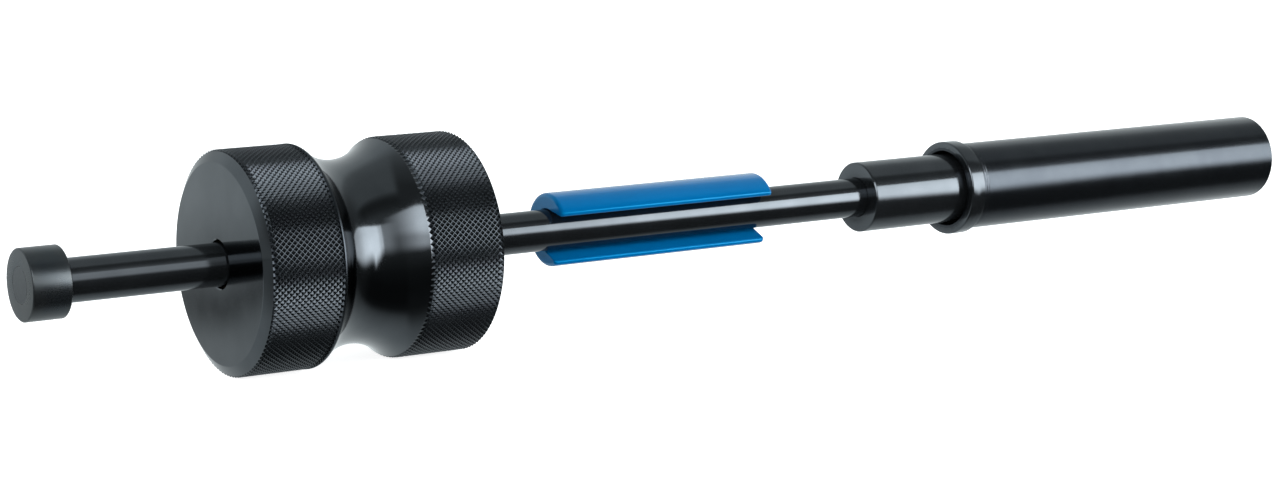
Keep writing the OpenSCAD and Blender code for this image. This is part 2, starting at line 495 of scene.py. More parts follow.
def start_net(owner: bpy.types.Material | bpy.types.World) -> Net:
    """Gives a material or world an empty node tree.

    Args:
        owner: the material or world.

    Returns:
        The net to fill the tree with.
    """
    owner.use_nodes = True
    owner.node_tree.nodes.clear()
    return Net(owner.node_tree)


@dataclass(frozen=True)
class Finish:
    """A finish, which says what feeds the Principled BSDF of its material."""

    name: str
    _: KW_ONLY
    wear_radius: float = 0.4 * MM
    wear_gain: float = 3.0
    wear_grain: float = 1100.0
    cloud_scale: float = 70.0
    speck_scale: float = 1800.0

    def surface(self, net: Net, effects: Effects) -> dict[str, object]:
        """Adds the nodes of the finish, and gives what feeds each input of the shader; each kind has its own."""
        raise NotImplementedError

    def mottle(self, net: Net, effects: Effects) -> bpy.types.Node:
        """Adds the cloudy tone and the specks, at the scales of this finish."""
        scales = {"Cloud Scale": self.cloud_scale, "Speck Scale": self.speck_scale}
        return net.node("Group", scales, node_tree=effects.mottle)

    def rubbed(self, net: Net, effects: Effects) -> Socket:
        """Adds the mask of the rubbed edges, as worn as this finish says."""
        wear = {"Radius": self.wear_radius, "Gain": self.wear_gain, "Grain": self.wear_grain}
        return net.node("Group", wear, node_tree=effects.wear).outputs["Mask"]

    def build(self, effects: Effects) -> bpy.types.Material:
        """Makes the material.

        Args:
            effects: the shared node groups.

        Returns:
            The new material.
        """
        material = bpy.data.materials.new(self.name)
        net = start_net(material)
        shader = net.node("BsdfPrincipled", self.surface(net, effects))
        net.node("OutputMaterial", {"Surface": shader.outputs[0]})
        return material


@dataclass(frozen=True)
class SteelFinish(Finish):
    """Blackened steel with tool marks, an uneven oxide skin and rubbed edges.

    The colours are what the metal reflects head on.
    """

    skin: Triple
    skin_pale: Triple
    roughness: float
    roughness_spread: float
    marks_per_metre: float = 2500.0
    marks_depth: float = 0.0012 * MM
    worn: Triple = (0.24, 0.25, 0.27)
    metal: float = 1.0
    edge_tint: float = 0.8
    cloud_share: float = 0.6
    speck_roughness: float = 0.04

    def surface(self, net: Net, effects: Effects) -> dict[str, object]:
        """Adds the nodes of the finish.

        Args:
            net: the material's net.
            effects: the shared node groups.

        Returns:
            By input of the shader, a socket to link from or a value to set.
        """
        marks = net.node("Group", {"Per Metre": self.marks_per_metre}, node_tree=effects.turning)
        mottle = self.mottle(net, effects).outputs
        tone = net.blend(self.cloud_share, marks.outputs["Tone"], mottle["Cloud"])
        colour = net.mix(self.rubbed(net, effects), net.mix(tone, self.skin, self.skin_pale), self.worn)
        low, high = self.roughness - self.roughness_spread, self.roughness + self.roughness_spread
        sheen = net.linear(net.blend(self.cloud_share, tone, mottle["Smear"]), 0.0, 1.0, (low, high))
        rough = net.math("MULTIPLY_ADD", mottle["Speck"], self.speck_roughness, sheen)
        bump = net.node("Bump", {"Height": marks.outputs["Height"], "Distance": self.marks_depth, "Strength": 1.0})
        return {
            "Base Color": colour, "Roughness": rough, "Normal": bump.outputs[0],
            "Metallic": self.metal, "Specular Tint": (self.edge_tint,) * 3 + (1.0,),
        }


@dataclass(frozen=True)
class PlasticFinish(Finish):
    """Glossy moulded plastic with a faint ripple and scuffed edges."""

    colour: Triple
    colour_deep: Triple
    scuffed: Triple
    edge_tint: Triple
    scuff_share: float = 0.25
    roughness: Point = (0.04, 0.13)
    ripple_depth: float = 0.004 * MM
    ripple_strength: float = 0.6
    index: float = 1.58

    def surface(self, net: Net, effects: Effects) -> dict[str, object]:
        """Adds the nodes of the finish.

        Args:
            net: the material's net.
            effects: the shared node groups.

        Returns:
            By input of the shader, a socket to link from or a value to set.
        """
        mottle = self.mottle(net, effects).outputs
        scuffs = net.math("MULTIPLY", self.rubbed(net, effects), self.scuff_share)
        colour = net.mix(scuffs, net.mix(mottle["Cloud"], self.colour, self.colour_deep), self.scuffed)
        rough = net.linear(mottle["Smear"], 0.0, 1.0, self.roughness)
        ripple = {"Height": mottle["Speck"], "Distance": self.ripple_depth, "Strength": self.ripple_strength}
        bump = net.node("Bump", ripple)
        return {
            "Base Color": colour, "Roughness": rough, "Normal": bump.outputs[0],
            "IOR": self.index, "Specular Tint": (*self.edge_tint, 1.0),
        }


class Finishes:
    """Every finish of the puller, by material slot."""

    def __init__(self) -> None:
        """Builds all the materials."""
        effects = Effects()
        steel, pale = (0.062, 0.069, 0.075), (0.078, 0.085, 0.092)
        made = {
            Slot.ROD: SteelFinish("rod_ground_black", steel, pale, 0.1, 0.03, 3200.0, 0.0006 * MM, metal=0.93),
            Slot.STOP: SteelFinish(
                "stop_turned_black", (0.046, 0.056, 0.065), (0.07, 0.074, 0.074), 0.28, 0.05,
                worn=(0.2, 0.17, 0.14), metal=0.92,
            ),
            Slot.WEIGHT: SteelFinish("weight_turned_black", steel, pale, 0.09, 0.02),
            Slot.COUPLING: SteelFinish("coupling_turned_black", steel, pale, 0.13, 0.03, metal=0.92),
            Slot.SLEEVE: SteelFinish(
                "sleeve_satin_black", (0.034, 0.039, 0.045), (0.044, 0.05, 0.056), 0.18, 0.04, metal=0.92,
            ),
            Slot.RING: SteelFinish("ring_fine_turned_black", steel, pale, 0.12, 0.03, metal=0.92),
            Slot.SCREW: SteelFinish("screw_black", (0.05, 0.052, 0.056), (0.07, 0.072, 0.078), 0.35, 0.08),
            Slot.BUSH: SteelFinish(
                "bush_bronze", (0.3, 0.19, 0.08), (0.38, 0.26, 0.12), 0.4, 0.08, worn=(0.5, 0.36, 0.2),
            ),
            Slot.GUARD: PlasticFinish(
                "guard_blue_plastic", (0.0, 0.108, 0.295), (0.0, 0.1, 0.275),
                scuffed=(0.05, 0.3, 0.62), edge_tint=(0.0, 0.6, 1.0), wear_radius=0.5 * MM, wear_gain=2.0,
                wear_grain=900.0, cloud_scale=45.0, speck_scale=2600.0,
            ),
        }
        self.materials = {slot: finish.build(effects) for slot, finish in made.items()}
        knurls = (
            # Edge wear lightens the diamonds' tips: partly real wear, partly painted glints of light on their rounded
            # tips.
            SteelFinish(
                "weight_knurled_black", (0.056, 0.063, 0.07), (0.069, 0.077, 0.085), 0.2, 0.03, wear_gain=0.7,
            ),
            # A darker, rougher copy of the knurl's finish, laid on the ends of each band and the shoulder next to
            # them: painted shade that damps the glints there.
            SteelFinish(
                "weight_knurl_ends_painted_shade", (0.034, 0.039, 0.044), (0.043, 0.049, 0.055), 0.26, 0.04, wear_gain=0.3,
            ),
        )
        self.knurls = [finish.build(effects) for finish in knurls]


# ---------------------------------------------------------------- pieces


@dataclass
class Assembly:
    """A sub-assembly of the puller, with the finishes its pieces take and how its lock screw is made.

    The screw's sizes are shares of its diameter, and the drill's are in metres.
    """

    finishes: Finishes
    screw_inset: float = 0.06
    screw_dish: float = 0.02
    screw_socket: float = 0.58
    screw_rim: float = 0.05
    screw_rim_bevel: float = 0.02
    screw_sides: int = 48
    drill_sides: int = 64
    drill_len: float = 20.0 * MM
    drill_play: float = 0.06 * MM

    def place(self, piece: Piece, body: Body, slot: Slot, node: str) -> None:
        """Dresses a piece and lets it ride in place of its CAD node.

        Args:
            piece: the finished mesh object.
            body: the CAD body it moves with.
            slot: the record's material slot.
            node: the CAD node that it stands for.
        """
        if not piece.data.materials:
            piece.data.materials.append(self.finishes.materials[slot])
        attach(piece, body.value)
        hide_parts(node)
        triangles = sum(len(p.vertices) - 2 for p in piece.data.polygons)
        LOG.info("%s rides on %s with %d triangles", piece.name, body.value, triangles)

    def drill(self, piece: Piece, screw: str) -> None:
        """Drills a turned piece for its lock screw.

        Args:
            piece: the turned mesh object.
            screw: the screw's CAD node.
        """
        low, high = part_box(screw)
        foot = Vector(((low.x + high.x) / 2, low.y - MM, 0))
        width = high.x - low.x + self.drill_play
        cut_with(piece, round_bar("drill", foot, self.drill_len, width, self.drill_sides))
        edit(piece, Part.VERTS)
        outward(LOOSE)
        smooth(piece)

    def lock_screw(self, name: str, node: str) -> None:
        """Models a hex socket lock screw where its CAD node is, and places it.

        Args:
            name: the new object's name.
            node: the screw's CAD node.
        """
        low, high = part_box(node)
        foot = Vector(((low.x + high.x) / 2, low.y, 0))
        length, diameter = high.y - low.y, high.x - low.x
        screw = round_bar(name, foot, length, diameter, self.screw_sides)
        pick(edit(screw, Part.FACES).faces, lambda f: f.normal.y > SQUARE_ON)
        bpy.ops.mesh.inset(thickness=self.screw_inset * diameter)
        bpy.ops.transform.translate(value=(0, -self.screw_dish * diameter, 0))
        bpy.ops.object.mode_set(mode="OBJECT")
        middle = foot + Vector((0, length / 2, 0))
        cut_with(screw, round_bar(name + "_socket", middle, length, self.screw_socket * diameter, 6))
        top = high.y - self.screw_rim * diameter
        sharp = 0.5
        pick(edit(screw, Part.EDGES).edges, lambda e: all(v.co.y > top for v in e.verts)
             and len(e.link_faces) == 2 and e.calc_face_angle() > sharp)
        bpy.ops.mesh.bevel(offset=self.screw_rim_bevel * diameter, segments=2, affect="EDGES")
        outward()
        smooth(screw)
        self.place(screw, Body.ROD, Slot.SCREW, node)


@dataclass
class PullRod(Assembly):
    """Pull rod with its end stop, and the screw that locks the stop."""

    thread_r: float = 7.5 * MM
    rod_r: float = 9.0 * MM
    shoulder_round: float = 0.3 * MM
    end_chamfer: float = 1.0 * MM
    face_edge: float = 0.12 * MM
    pilot_end: float = -240.0 * MM
    stop_edge: float = 0.5 * MM
    stop_round: float = 0.15 * MM
    stop_bore_r: float = 7.53 * MM
    steps: int = 128

    def build(self) -> None:
        """Builds the rod, the stop and its screw."""
        self._rod()
        self._stop()
        self.lock_screw("lock_screw_of_end_stop", "end_stop_lock_screw")

    def _rod(self) -> None:
        """Turns the rod from end to end."""
        start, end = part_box("pull_rod")
        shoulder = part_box("end_stop")[1].x
        e, t, r = self.face_edge, self.thread_r, self.rod_r
        profile = [
            (start.x, 0.0), (start.x, t - e), (start.x + e, t), (shoulder, t), (shoulder, r),
            (self.pilot_end, r), (self.pilot_end, t), (end.x - self.end_chamfer, t),
            (end.x, t - self.end_chamfer), (end.x, 0.0),
        ]
        rod = turn("rod_with_threaded_ends", profile, self.steps, {(shoulder, r): self.shoulder_round})
        self.place(rod, Body.ROD, Slot.ROD, "pull_rod")

    def _stop(self) -> None:
        """Turns the end stop and drills it for the lock screw."""
        low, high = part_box("end_stop")
        profile = ring_section(low.x, high.x, self.stop_bore_r, high.z, self.stop_edge, self.face_edge)
        stop = turn("end_stop_turned", profile, self.steps, dict.fromkeys(profile[RIM], self.stop_round))
        self.drill(stop, "end_stop_lock_screw")
        self.place(stop, Body.ROD, Slot.STOP, "end_stop")


@dataclass
class SlideWeight(Assembly):
    """Waisted weight with two knurled bands, and the bushes that it turns on."""

    band_r: float = 46.7 * MM
    waist_r: float = 38.5 * MM
    front_band: float = 34.0 * MM
    waist_len: float = 41.5 * MM
    near_shoulder_r: float = 1.5 * MM
    far_shoulder_r: float = 3.5 * MM
    front_chamfer: float = 3.0 * MM
    face_drop: float = 5.0 * MM
    face_round: float = 0.25 * MM
    rear_chamfer: float = 0.6 * MM
    bore_r: float = 10.1 * MM
    bore_edge: float = 0.4 * MM
    knurl_depth: float = 0.85 * MM
    knurl_half_pitch: float = 1.25 * MM
    knurl_floor: float = 0.08 * MM
    knurl_runout: float = 0.3 * MM
    knurl_slack: float = 0.05 * MM
    row_slack: float = 0.01
    # Rows at each band's start that take the darker knurl finish, painted shade over their glints.
    front_shade_rows: float = 0.5
    rear_shade_rows: float = 2.2
    sharp_angle: float = 25.0
    sides: int = 234
    shoulder_steps: int = 6
    waist_steps: int = 44
    bush_bore_r: float = 9.05 * MM
    bush_edge: float = 0.25 * MM
    bush_steps: int = 96

    def build(self) -> None:
        """Builds the weight and both bushes."""
        self._weight()
        for node, name in (("weight_bush_front", "bush_at_front"), ("weight_bush_rear", "bush_at_rear")):
            low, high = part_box(node)
            profile = ring_section(low.x, high.x, self.bush_bore_r, high.z, self.bush_edge, self.bush_edge)
            self.place(turn(name, profile, self.bush_steps), Body.BUSHES, Slot.BUSH, node)

    def _tip(self, x: float, waist_x: float) -> float:
        """Gives the radius of a band at a place, which falls off over the far shoulder towards the waist."""
        reach = max(0.0, min(x - waist_x, waist_x + self.waist_len - x))
        return self.band_r - self.far_shoulder_r + math.sqrt(self.far_shoulder_r ** 2 - reach ** 2)

    def _waist(self, start: float, leave: float) -> list[Point]:
        """Gives the waist between the knurls: one shoulder, the cove and the bare part of the other shoulder.

        Args:
            start: where the front band ends.
            leave: angle on the far shoulder, off its top, where the rear knurl begins.

        Returns:
            Points of the waist.
        """
        near_r, far_r, up = self.near_shoulder_r, self.far_shoulder_r, QUARTER_TURN
        drop = self.band_r - self.waist_r
        reach = self.waist_len / 2 + drop * (near_r - far_r) / self.waist_len
        near_slope, far_slope = (2 * math.atan(drop / side) for side in (reach, self.waist_len - reach))
        cove_r = reach / math.sin(near_slope) - near_r
        near = arc((start, self.band_r - near_r), near_r, up, up - near_slope, self.shoulder_steps)
        middle = (start + reach, self.waist_r + cove_r)
        cove = arc(middle, cove_r, -up - near_slope, -up + far_slope, self.waist_steps)
        far = arc((start + self.waist_len, self.band_r - far_r), far_r, up + far_slope, up + leave, 2)
        return near[:-1] + cove + far[1:]

    def _rows(self, start: float, end: float, waist_x: float) -> list[Point]:
        """Divides a knurled band into rows, two to a pitch.

        Args:
            start: where the band starts.
            end: where the band ends.
            waist_x: where the waist starts.

        Returns:
            For each row, its place and the radius of its diamonds' tips.
        """
        count = 2 * max(2, round((end - start) / self.knurl_half_pitch / 2))
        places = [start + (end - start) * i / count for i in range(count + 1)]
        return [(x, self._tip(x, waist_x)) for x in places]

    def _weight(self) -> None:
        """Turns the weight, knurls its bands and dresses it."""
        low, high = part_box("slide_weight")
        c, f, g, b = self.front_chamfer, self.rear_chamfer, self.bore_edge, self.bore_r
        root, drop = self.band_r - self.knurl_depth, self.face_drop
        leave = math.acos(1 - self.knurl_depth / self.far_shoulder_r)
        over = self.far_shoulder_r * math.sin(leave)
        waist_x = low.x + self.front_band
        front = self._rows(low.x + c, waist_x - self.knurl_runout, waist_x)
        rear = self._rows(waist_x + self.waist_len - over, high.x - f, waist_x)
        chamfer_end = low.x + c * (1 - self.knurl_depth / drop)
        face_rim = (low.x, self.band_r - drop)
        profile = [
            (low.x + g, b), (low.x, b + g), face_rim, (chamfer_end, root),
            *[(x, root) for x, _ in front], *self._waist(waist_x, leave)[:-1], *[(x, root) for x, _ in rear],
            (high.x, root), (high.x, b + g), (high.x - g, b), (low.x + g, b),
        ]
        weight = turn("weight_with_knurled_bands", profile, self.sides, {face_rim: self.face_round})
        for material in (self.finishes.materials[Slot.WEIGHT], *self.finishes.knurls):
            weight.data.materials.append(material)
        self._knurl(weight, front, root, self.front_shade_rows)
        self._knurl(weight, rear, root, self.rear_shade_rows)
        smooth(weight, self.sharp_angle)
        self.place(weight, Body.WEIGHT, Slot.WEIGHT, "slide_weight")

    def _knurl(self, weight: Piece, rows: list[Point], root: float, shade_rows: float) -> None:
        """Raises the diamonds of one band.

        The band is a grid of half pitches. Every other vertex of it is a crossing of two grooves: the crossings
        are joined, the vertices between them are raised to the diamonds' tips, and the grooves are given a floor.

        Args:
            weight: the turned weight.
            rows: the grid's rows, each with its place along the axis and the radius of its tips.
            root: radius at the bottom of the grooves.
            shade_rows: how many rows at the band's start take the darker finish, painted shade over the glints at the
                band's edge.
        """
        first, last = rows[0][0], rows[-1][0]
        step = (last - first) / (len(rows) - 1)

        def crossing(vert: bmesh.types.BMVert) -> bool | None:
            """Says what a vertex is on the grid.

            Args:
                vert: a vertex of the weight.

            Returns:
                True for a crossing of two grooves, False for a tip, None for a vertex off the grid.
            """
            row = (vert.co.x - first) / step
            off = abs(math.hypot(vert.co.y, vert.co.z) - root) > LOOSE
            if off or abs(row - round(row)) > self.row_slack or not -0.5 < row < len(rows) - 0.5:
                return None
            column = math.atan2(vert.co.y, vert.co.z) / FULL_TURN * self.sides
            return (round(row) + round(column)) % 2 == 0

        def raised(face: bmesh.types.BMFace) -> bool:
            """Says whether a face belongs to the knurl of this band.

            Args:
                face: a face of the weight.

            Returns:
                True for a face of the knurl.
            """
            place = face.calc_center_median().x
            high = all(math.hypot(v.co.y, v.co.z) > root - self.knurl_slack for v in face.verts)
            return high and first - step < place < last + 2 * step

        pick(edit(weight, Part.VERTS).verts, lambda v: crossing(v) is True)
        bpy.ops.mesh.vert_connect()
        pick(clear(weight, Part.EDGES).edges, lambda e: all(crossing(v) is True for v in e.verts))
        grooves = {e.index for e in bmesh.from_edit_mesh(weight.data).edges if e.select}
        for tip in sorted({tip for _, tip in rows}):
            level = [x for x, height in rows if height == tip]
            pick(clear(weight, Part.VERTS).verts,
                 lambda v: crossing(v) is False and any(abs(v.co.x - x) < step / 4 for x in level))
            bpy.ops.transform.resize(value=(1, tip / root, tip / root), center_override=(0, 0, 0))
        pick(clear(weight, Part.EDGES).edges, lambda e: e.index in grooves)
        bpy.ops.mesh.bevel(offset=self.knurl_floor, segments=1, affect="EDGES")
        # Faces of the band outside this span, and of the shoulder beyond its end, take the darker finish: painted
        # shade that damps their glints.
        unshaded_span = (first + shade_rows * step, last - step / 2)
        pick(clear(weight, Part.FACES).faces, raised)
        weight.active_material_index = 1
        bpy.ops.object.material_slot_assign()
        pick(clear(weight, Part.FACES).faces,
             lambda f: raised(f) and not unshaded_span[0] < f.calc_center_median().x < unshaded_span[1])
        weight.active_material_index = 2
        bpy.ops.object.material_slot_assign()
        bpy.ops.object.mode_set(mode="OBJECT")
        LOG.info("knurled %d rows with %d grooves", len(rows), len(grooves))


@dataclass
class HandGuard(Assembly):
    """Blue hand guard, a round moulding with an open channel that sits over the rod."""

    outer_r: float = 16.1 * MM
    channel_r: float = 9.3 * MM
    mouth: float = 10.5 * MM
    flare: float = math.radians(6.0)
    tilt: float = math.radians(15.5)
    lip_outer: float = 1.2 * MM
    lip_inner: float = 1.0 * MM
    end_round: float = 1.6 * MM
    end_break: float = 0.4 * MM
    end_inset: float = 0.1 * MM
    lip_end_share: float = 0.6
    sharp_angle: float = 35.0
    arc_steps: int = 96
    lip_steps: int = 8
    end_steps: int = 8

    def _section(self, shrink: float = 0.0, ease: float = 0.0) -> list[Point]:
        """Gives the guard's section, with its open side towards +u, as points (u, v).

        Args:
            shrink: how far the outside is drawn in.
            ease: how far the channel's wall is moved into the plastic.

        Returns:
            The section's points, in the same order for every size.
        """
        share = 1 - self.lip_end_share * shrink / self.end_round
        ro, ri = self.lip_outer * share, self.lip_inner * share
        outer_r, channel_r, mouth = self.outer_r - shrink, self.channel_r + ease, self.mouth - shrink
        outer_u, inner_u = mouth - ro, mouth - ri
        outer_v = math.sqrt((outer_r - ro) ** 2 - outer_u ** 2)
        inner_v = channel_r / math.cos(self.flare) + inner_u * math.tan(self.flare) + ri / math.cos(self.flare)
        edge, wall = math.atan2(outer_v, outer_u), QUARTER_TURN - self.flare
        back = arc((0, 0), outer_r, edge, FULL_TURN - edge, self.arc_steps)
        low_lip = arc((outer_u, -outer_v), ro, -edge, 0, self.lip_steps)
        low_lip += arc((inner_u, -inner_v), ri, 0, wall, self.lip_steps)
        channel = arc((0, 0), channel_r, -math.pi + wall, -math.pi - wall, self.arc_steps // 2)
        high_lip = [(u, -v) for u, v in reversed(low_lip)]
        return back + low_lip[1:] + channel + high_lip[:-1]

    def _turned(self, u: float, v: float) -> Point:
        """Turns a point of the section to its place across the rod, as (y, z)."""
        angle = math.pi + self.tilt
        return u * math.cos(angle) - v * math.sin(angle), u * math.sin(angle) + v * math.cos(angle)

    def build(self) -> None:
        """Draws the section, extrudes it in slices and rounds both ends."""
        low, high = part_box("hand_guard")
        spots = [Vector((low.x, *self._turned(u, v))) for u, v in self._section()]
        guard = new_point("guard_moulded", spots[0])
        extrude_to(b - a for a, b in zip(spots, [*spots[1:], spots[0]]))
        bpy.ops.mesh.select_all(action="SELECT")
        bpy.ops.mesh.remove_doubles(threshold=LOOSE)
        bpy.ops.mesh.edge_face_add()
        turns = [QUARTER_TURN * i / self.end_steps for i in range(self.end_steps + 1)]
        near = [self.end_round * (1 - math.cos(a)) for a in turns]
        places = near + [high.x - low.x - d for d in reversed(near)]
        for a, b in zip(places, places[1:]):
            bpy.ops.mesh.extrude_region_move(TRANSFORM_OT_translate={"value": (b - a, 0, 0)})
        outward()
        bpy.ops.object.mode_set(mode="OBJECT")
        self._round_ends(guard, low.x, high.x, near)
        pick(edit(guard, Part.FACES).faces, lambda f: abs(f.normal.x) > SQUARE_ON and len(f.verts) > 4)
        bpy.ops.mesh.inset(thickness=self.end_inset)
        smooth(guard, self.sharp_angle)
        self.place(guard, Body.GUARD, Slot.GUARD, "hand_guard")

    def _round_ends(self, guard: Piece, start: float, end: float, near: list[float]) -> None:
        """Rounds the outer edge and the lips' corners at both ends, and breaks the channel's edge there.

        Args:
            guard: the extruded guard.
            start: its front end.
            end: its rear end.
            near: depths of the slices from an end inwards.
        """

        def drawn_in(radius: float, depth: float) -> float:
            """Gives how far a round of a radius has fallen off at a depth."""
            return radius - math.sqrt(max(0.0, radius ** 2 - max(0.0, radius - depth) ** 2))

        rings = [self._section(drawn_in(self.end_round, d), drawn_in(self.end_break, d)) for d in near]
        corners = KDTree(len(rings[-1]))
        for number, (u, v) in enumerate(rings[-1]):
            corners.insert(Vector((*self._turned(u, v), 0)), number)
        corners.balance()
        for vertex in guard.data.vertices:
            depth = min(vertex.co.x - start, end - vertex.co.x)
            ring = min(range(len(near)), key=lambda i: abs(near[i] - depth))
            number = corners.find(Vector((vertex.co.y, vertex.co.z, 0)))[1]
            vertex.co.y, vertex.co.z = self._turned(*rings[ring][number])


@dataclass
class PullerSleeve(Assembly):
    """Rod coupling with its lock screw, the sleeve with its threaded socket, and the sleeve's ring."""

    neck_r: float = 16.2 * MM
    neck_edge: float = 0.6 * MM
    neck_round: float = 0.15 * MM
    head_r: float = 17.5 * MM
    head_x: float = -182.0 * MM
    pilot_r: float = 9.03 * MM
    pilot_edge: float = 0.3 * MM
    tail_r: float = 7.53 * MM
    pilot_end: float = -240.0 * MM
    tail_end: float = -190.0 * MM
    sleeve_r: float = 20.25 * MM
    seat_r: float = 19.25 * MM
    core_r: float = 15.5 * MM
    head_bore_r: float = 17.53 * MM
    head_bore_end: float = -146.0 * MM
    bore_edge: float = 0.4 * MM
    socket_r: float = 17.2 * MM
    socket_len: float = 50.0 * MM
    thread_pitch: float = 1.5 * MM
    thread_depth: float = 0.8 * MM
    thread_land: float = 0.12
    thread_rows: int = 8
    mouth_edge: float = 0.8 * MM
    mouth_round: float = 0.2 * MM
    groove: float = 0.2 * MM
    groove_places: tuple[float, ...] = (0.7 * MM, 2.0 * MM, 3.3 * MM)
    ring_edge: float = 0.5 * MM
    ring_round: float = 0.25 * MM
    ring_play: float = 0.03 * MM
    steps: int = 144

    def build(self) -> None:
        """Builds the coupling, its screw, the sleeve and the ring."""
        self._coupling()
        self.lock_screw("lock_screw_of_coupling", "coupling_lock_screw")
        self._sleeve()
        self._ring()

    def _coupling(self) -> None:
        """Turns the coupling and drills it for its lock screw."""
        low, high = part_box("rod_coupling")
        e, p = self.neck_edge, self.pilot_edge
        neck = [(low.x, self.neck_r - e), (low.x + e, self.neck_r)]
        profile = [
            (self.tail_end, 0.0), (self.tail_end, self.tail_r), (self.pilot_end, self.tail_r),
            (self.pilot_end, self.pilot_r), (low.x + p, self.pilot_r), (low.x, self.pilot_r + p),
            *neck, (self.head_x, self.neck_r),
            (self.head_x, self.head_r - e), (self.head_x + e, self.head_r), (high.x - e, self.head_r),
            (high.x, self.head_r - e), (high.x, 0.0),
        ]
        coupling = turn("coupling_turned", profile, self.steps, dict.fromkeys(neck, self.neck_round))
        self.drill(coupling, "coupling_lock_screw")
        self.place(coupling, Body.ROD, Slot.COUPLING, "rod_coupling")

    def _sleeve(self) -> None:
        """Turns the sleeve with its grooves by the ring, and cuts the thread of its socket."""
        low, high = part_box("puller_sleeve")
        ring_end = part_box("sleeve_ring")[1].x
        b, m, g = self.bore_edge, self.mouth_edge, self.groove
        grooves = []
        for place in self.groove_places:
            x = ring_end + place
            grooves += [(x - g, self.sleeve_r), (x, self.sleeve_r - g), (x + g, self.sleeve_r)]
        mouth = [(high.x - m, self.sleeve_r), (high.x, self.sleeve_r - m)]
        rows = round(self.socket_len / self.thread_pitch * self.thread_rows)
        top = high.x - b
        socket = [(top - (top + self.socket_len) * i / rows, self.socket_r) for i in range(rows + 1)]
        profile = [
            (low.x, self.head_bore_r + b), (low.x, self.seat_r), (ring_end, self.seat_r),
            (ring_end, self.sleeve_r), *grooves, *mouth,
            (high.x, self.socket_r + b), *socket, (-self.socket_len, self.core_r),
            (self.head_bore_end, self.core_r), (self.head_bore_end, self.head_bore_r),
            (low.x + b, self.head_bore_r), (low.x, self.head_bore_r + b),
        ]
        rounds = dict.fromkeys(mouth, self.mouth_round)
        sleeve = turn("sleeve_with_threaded_socket", profile, self.steps, rounds)
        self._thread(sleeve, top)
        smooth(sleeve)
        self.place(sleeve, Body.ROD, Slot.SLEEVE, "puller_sleeve")

    def _thread(self, sleeve: Piece, top: float) -> None:
        """Cuts the socket's thread by moving its wall outwards along a helix.

        Args:
            sleeve: the turned sleeve.
            top: where the thread starts, just inside the mouth.
        """
        for vertex in sleeve.data.vertices:
            p = vertex.co
            r = math.hypot(p.y, p.z)
            if abs(r - self.socket_r) > 2 * LOOSE or not -self.socket_len + MERGE < p.x < top + MERGE:
                continue
            turn_share = (top - p.x) / self.thread_pitch - math.atan2(p.z, p.y) / FULL_TURN
            wave = abs((turn_share % 1.0) * 2 - 1)
            flat = min(max((wave - self.thread_land) / (1 - 2 * self.thread_land), 0.0), 1.0)
            ease = min(1.0, (p.x + self.socket_len) / (2 * self.thread_pitch))
            scale = (r + self.thread_depth * flat * ease) / r
            p.y *= scale
            p.z *= scale

    def _ring(self) -> None:
        """Turns the ring with its rounded rim."""
        low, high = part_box("sleeve_ring")
        profile = ring_section(low.x, high.x, self.seat_r + self.ring_play, high.z, self.ring_edge, 0.0)
        ring = turn("ring_turned", profile, self.steps, dict.fromkeys(profile[RIM], self.ring_round))
        self.place(ring, Body.ROD, Slot.RING, "sleeve_ring")


# ---------------------------------------------------------------- studio


@dataclass(frozen=True)
class Softbox:
    """Lamp with a white front, placed by the lean of its light along the rod and the angle round the rod.

    Leans run from -1, towards the end stop, to 1, towards the tool. Angles are in degrees from the front, upwards.
    """

    levels: list[Point]
    top: list[Point]
    foot: list[Point]
    top_soft: float
    foot_soft: list[Point]
    shade: list[Point]

    def build(self, net: Net, lean: Socket, angle: Socket) -> Socket:
        """Makes the lamp's light.

        Args:
            net: the world's net.
            lean: how far a direction leans along the rod.
            angle: the direction's angle round the rod.

        Returns:
            The lamp's level.
        """
        below = net.math("SUBTRACT", net.curve(lean, self.top), angle)
        above = net.math("SUBTRACT", angle, net.curve(lean, self.foot))
        soft = net.curve(lean, self.foot_soft)
        upper = net.ease(below, -self.top_soft, self.top_soft)
        lower = net.ease(above, net.math("MULTIPLY", soft, -1.0), soft)
        face = net.math("MULTIPLY", net.curve(lean, self.levels), net.curve(angle, self.shade))
        return net.math("MULTIPLY", face, net.math("MULTIPLY", upper, lower))


# Level of the room by the angle round the rod, in degrees as for a softbox. Each table is for light that leans
# towards the stop, little, or towards the tool.
STOP_SIDE_ROOM = [
    (-180, 1.3), (-171, 1.3), (-170.2, 1.06), (-169.4, 0.98), (-168.9, 0.78), (-168.3, 0.45), (-167.7, 0.24),
    (-167.1, 0.22), (-166.6, 0.5), (-165.8, 1.0), (-140, 1.0), (-125, 1.0), (-104, 0.8), (-96, 0.68), (-88, 0.5),
    (-80, 0.28), (-72, 0.12), (-64, 0.06), (-40, 0.04), (-20, 0.06), (-4, 0.14), (62, 0.16), (82, 0.17),
    (96, 0.26), (104, 0.3), (112, 0.4), (120, 0.5), (128, 0.82), (136, 1.12), (165, 1.2), (180, 1.3),
]
MIDDLE_ROOM = [
    (-180, 0.95), (-150, 1.0), (-136, 1.1), (-120, 1.05), (-104, 0.9), (-96, 0.77), (-88, 0.64), (-80, 0.47),
    (-75, 0.33), (-70, 0.14), (-65, 0.05), (-56, 0.03), (-36, 0.03), (-20, 0.05), (-6, 0.1), (42, 0.32),
    (48, 0.28), (55, 0.16), (62, 0.11), (67, 0.13), (71, 0.25), (76, 0.49), (104, 0.51), (113, 0.56),
    (121, 0.62), (126, 0.8), (132, 1.03), (146, 1.1), (160, 1.1), (180, 0.95),
]
TOOL_SIDE_ROOM = [
    (-180, 0.6), (-112, 0.45), (-96, 0.27), (-84, 0.14), (-72, 0.09), (-48, 0.07), (-30, 0.1), (-10, 0.3),
    (40, 0.4), (66, 0.3), (76, 0.18), (104, 0.22), (120, 0.32), (132, 0.42), (180, 0.6),
]
